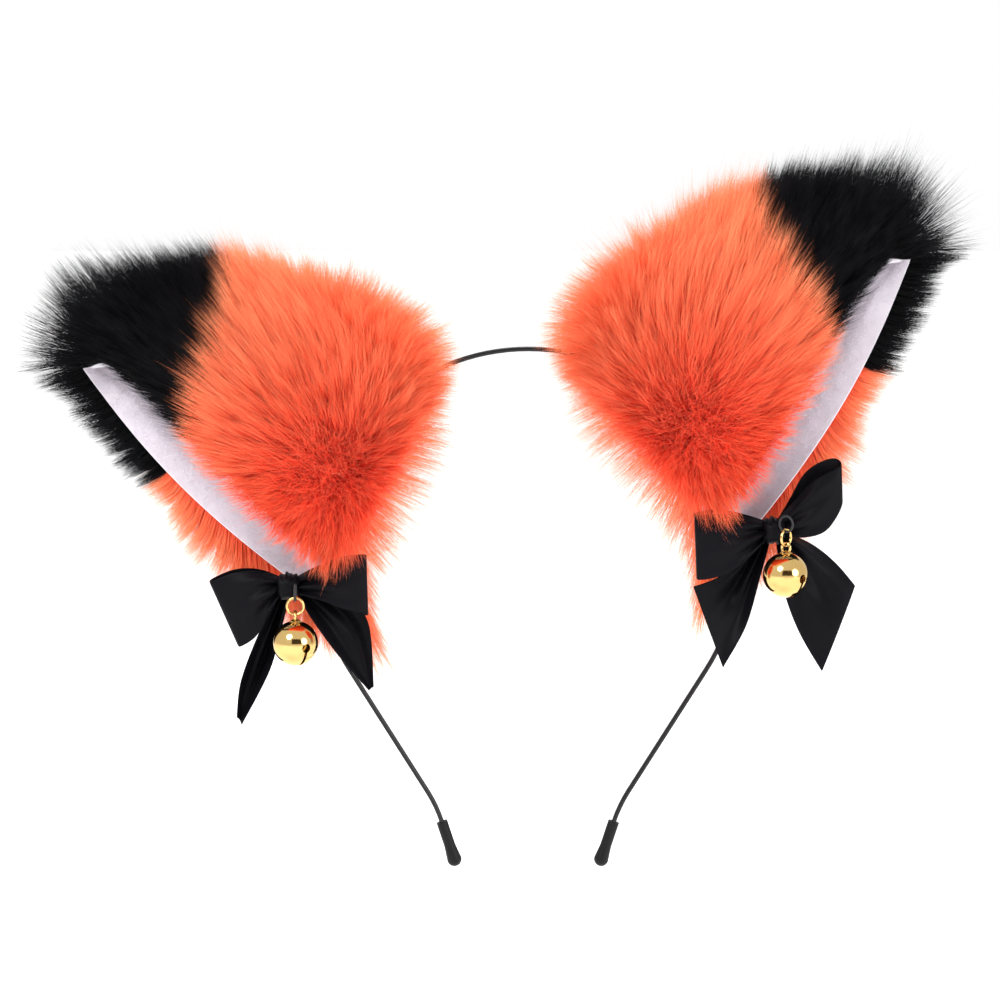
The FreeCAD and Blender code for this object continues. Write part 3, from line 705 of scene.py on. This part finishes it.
def ribbonPiece(name, side, placeOf, material, columns):
    piece = newPiece(name, gridMesh(columns, 20, placeOf), material, f"{side}_ear")
    thicken(piece, bow["thick"])
    soft = piece.modifiers.new("soft", "SUBSURF")
    soft.levels = soft.render_levels = 1
    return piece


def makeBow(side, satin):
    for flap, behind in (("tail_outer", -0.6), ("tail_inner", 0.0), ("loop_outer", 2.2), ("loop_inner", 2.2)):
        name = f"{side}_bow_{flap}"
        depth = bow["layer"] + behind
        if flap.startswith("tail"):
            piece = ribbonPiece(name + "_satin", side, tailPlace(side, flap, depth), satin, 36)
        else:
            piece = ribbonPiece(name + "_satin", side, loopPlace(side, flap, depth), satin, 56)
        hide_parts(name)
    makeKnot(side, satin)
    print(side, "bow made")


def makeKnot(side, satin):
    # a wrap of ribbon round the middle, with pleats along it
    low, high = (Vector(corner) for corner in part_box(f"{side}_bow_knot"))
    middle = (low + high) / 2
    half = (high - low) / 2
    bm = bmesh.new()
    bmesh.ops.create_uvsphere(bm, u_segments=64, v_segments=40, radius=1, calc_uvs=True)
    for vert in bm.verts:
        p = vert.co.copy()
        pleat = 1 + 0.07 * math.sin(9 * p.x + 2.2 * p.z) + 0.05 * math.sin(17 * p.x - 3 * p.z)
        square = (abs(p.x) ** 2.6 + abs(p.y) ** 2.6 + abs(p.z) ** 2.6) ** (-1 / 2.6)
        waist = 1 - 0.22 * (1 - abs(p.z)) ** 2
        p *= square
        away = Vector((p.x * half.x * 1.02 * waist * pleat, p.y * half.y, p.z * half.z * 1.08 * pleat))
        vert.co = middle + away
    piece = newPiece(f"{side}_bow_knot_satin", bm, satin, f"{side}_ear")
    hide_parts(f"{side}_bow_knot")


def goldMaterial():
    look = Finish("goldPlating")
    spots = look.noise(900, 2)
    film = look.noise(120, 3)
    look.set(Base_Color=look.mix(film, (0.6, 0.39, 0.13), (0.72, 0.5, 0.2)), Metallic=1.0)
    look.set(Roughness=spots * 0.05 + 0.07, Normal=look.bump(film, 0.05, 0.05))
    return look.material


def enamelMaterial():
    look = Finish("blackEnamel")
    speck = look.noise(700, 3)
    look.set(Base_Color=look.mix(speck, (0.003, 0.003, 0.0035), (0.009, 0.009, 0.01)))
    look.set(Roughness=speck * 0.12 + 0.2)
    look.set(Coat_Weight=0.15, Coat_Roughness=0.12, Normal=look.bump(speck, 0.15, 0.03))
    look.set(Specular_IOR_Level=0.2)
    return look.material


def rubberMaterial():
    look = Finish("blackRubber")
    grain = look.noise(1500, 3)
    bloom = look.noise(200, 3)
    look.set(Base_Color=look.mix(bloom, (0.003, 0.003, 0.0035), (0.009, 0.009, 0.01)))
    look.set(Roughness=bloom * 0.2 + 0.35)
    look.set(Normal=look.bump(grain, 0.25, 0.04))
    look.set(Specular_IOR_Level=0.15)
    return look.material


def steelMaterial():
    look = Finish("plainSteel")
    mark = look.noise(900, 3)
    look.set(Base_Color=look.mix(mark, (0.4, 0.4, 0.42), (0.62, 0.62, 0.64)))
    look.set(Metallic=1.0, Roughness=mark * 0.2 + 0.22)
    return look.material


def threadMaterial():
    look = Finish("blackThread")
    twist = look.noise(2600, 2)
    look.set(Base_Color=look.mix(twist, (0.006, 0.006, 0.007), (0.025, 0.025, 0.028)), Roughness=0.75)
    look.set(Normal=look.bump(twist, 0.6, 0.06))
    return look.material


def smoothCopy(node, material, body):
    # the node's own shape, with its doubles merged and its round faces smooth
    bm = bmesh.new()
    bm.from_mesh(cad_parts[node].data)
    bmesh.ops.remove_doubles(bm, verts=bm.verts, dist=2e-6)
    for edge in bm.edges:
        edge.smooth = len(edge.link_faces) == 2 and edge.calc_face_angle(0) < math.radians(28)
    piece = newPiece(node + "_finished", bm, material, body)
    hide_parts(node)


def makeHardware(finish):
    smoothCopy("spring_band", finish["enamel"], "band")
    for side in sides:
        smoothCopy(f"{side}_end_cap", finish["rubber"], "band")
        smoothCopy(f"{side}_band_channel", finish["tape"], f"{side}_ear")
        smoothCopy(f"{side}_thread_loop", finish["thread"], f"{side}_ear")
        smoothCopy(f"{side}_jump_ring", finish["gold"], f"{side}_ring")
        smoothCopy(f"{side}_bell_eye", finish["gold"], f"{side}_bell")
        smoothCopy(f"{side}_bell_shell", finish["gold"], f"{side}_bell")
        smoothCopy(f"{side}_bell_pellet", finish["steel"], f"{side}_pellet")
        makeCollar(side, finish["gold"])
    print("hardware made")


collar = {"foot": 2.0, "top": 0.75, "high": 1.0, "round": 0.22, "lift": 0.05}


def makeCollar(side, gold):
    # the bead of solder that holds the eye on the bell
    low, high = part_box(f"{side}_bell_shell")
    top = Vector(((low[0] + high[0]) / 2, (low[1] + high[1]) / 2, high[2]))
    foot, tip, depth, offset = (collar[key] * mm for key in ("foot", "top", "high", "round"))
    bm = bmesh.new()
    bmesh.ops.create_cone(bm, cap_ends=True, segments=40, radius1=foot, radius2=tip, depth=depth)
    rims = bm.edges[:]
    bmesh.ops.bevel(bm, geom=rims, offset=offset, segments=3, affect="EDGES", profile=0.5, material=-1)
    bmesh.ops.translate(bm, verts=bm.verts, vec=top + Vector((0, 0, collar["lift"] * mm)))
    piece = newPiece(f"{side}_bell_collar", bm, gold, f"{side}_bell")


studio = {
    "floorRadius": 14.0,
    "cardAt": (0.15, -1.0, 0.3),
    "cardScale": (1.0, 0.5, 1.0),  # of a square metre
}


def stagePiece(name, bm, look):
    piece = addObject(name, meshOf(name, bm), look.material)
    return piece


def makeStudio():
    bm = bmesh.new()
    bmesh.ops.create_circle(bm, cap_ends=True, segments=96, radius=studio["floorRadius"])
    bmesh.ops.translate(bm, verts=bm.verts, vec=(0, 0, cadBox[0][2] - view["floorDrop"] * mm))
    pale = Finish("paleFloor").set(Base_Color=(0.98, 0.98, 0.98), Roughness=0.8)
    pale.set(Emission_Color=(1.0, 1.0, 1.0), Emission_Strength=0.15)
    stagePiece("paleFloor", bm, pale)
    # a dark card behind the camera, for the gold to reflect
    bm = bmesh.new()
    bmesh.ops.create_grid(bm, x_segments=1, y_segments=1, size=0.5)
    bmesh.ops.scale(bm, verts=bm.verts, vec=studio["cardScale"])
    bmesh.ops.rotate(bm, verts=bm.verts, matrix=Matrix.Rotation(math.radians(90), 3, "X"))
    bmesh.ops.translate(bm, verts=bm.verts, vec=studio["cardAt"])
    card = stagePiece("darkCard", bm, Finish("darkCard").set(Base_Color=(0.03, 0.02, 0.01), Roughness=0.9))
    card.visible_camera = False
    print("studio made")


makeCamera()
makeLights()
makeStudio()
finish = {
    "orangeBacking": clothMaterial("orangeKnit", (0.75, 0.035, 0.014), 0.85, 1500),
    "blackBacking": clothMaterial("blackKnit", (0.006, 0.006, 0.007), 0.85, 1500),
    "felt": clothMaterial("greyFelt", (0.5, 0.5, 0.5), 0.95, 900),
    "lining": clothMaterial("whitePlushGround", (0.82, 0.77, 0.84), 0.9, 1400, 0.4),
    "tape": clothMaterial("whiteTape", (0.7, 0.68, 0.7), 0.85, 2200),
    # the plush's colours darken from tip to root: painted shade in the depth of the pile
    "plush": furMaterial(
        "whitePlush",
        ((0.62, 0.55, 0.63), (0.78, 0.72, 0.8), (0.86, 0.81, 0.88)),
        ((0.72, 0.66, 0.73), (0.86, 0.82, 0.88), (0.95, 0.92, 0.96)),
        0.2,
    ),
    "gold": goldMaterial(),
    "enamel": enamelMaterial(),
    "rubber": rubberMaterial(),
    "steel": steelMaterial(),
    "thread": threadMaterial(),
}
# the orange fur's colours darken from tip to root: painted shade in the depth of the pile
orangeFur = furMaterial(
    "orangeFur",
    ((0.9, 0.03, 0.012), (0.93, 0.055, 0.022), (1.0, 0.16, 0.065)),
    ((0.95, 0.09, 0.035), (1.0, 0.24, 0.095), (1.0, 0.39, 0.19)),
    0.08,
)
# the black fur's colours darken from tip to root: painted shade in the depth of the pile
blackFur = furMaterial(
    "blackFur",
    ((0.001, 0.001, 0.001), (0.002, 0.002, 0.002), (0.006, 0.006, 0.007)),
    ((0.001, 0.001, 0.001), (0.003, 0.003, 0.004), (0.011, 0.011, 0.013)),
    0.0,
    0.08,
)
satin = satinMaterial()
for side in sides:
    pile = makeFur(side, orangeFur, blackFur)
    makePanel(side, finish)
    makeBow(side, satin)
makeHardware(finish)
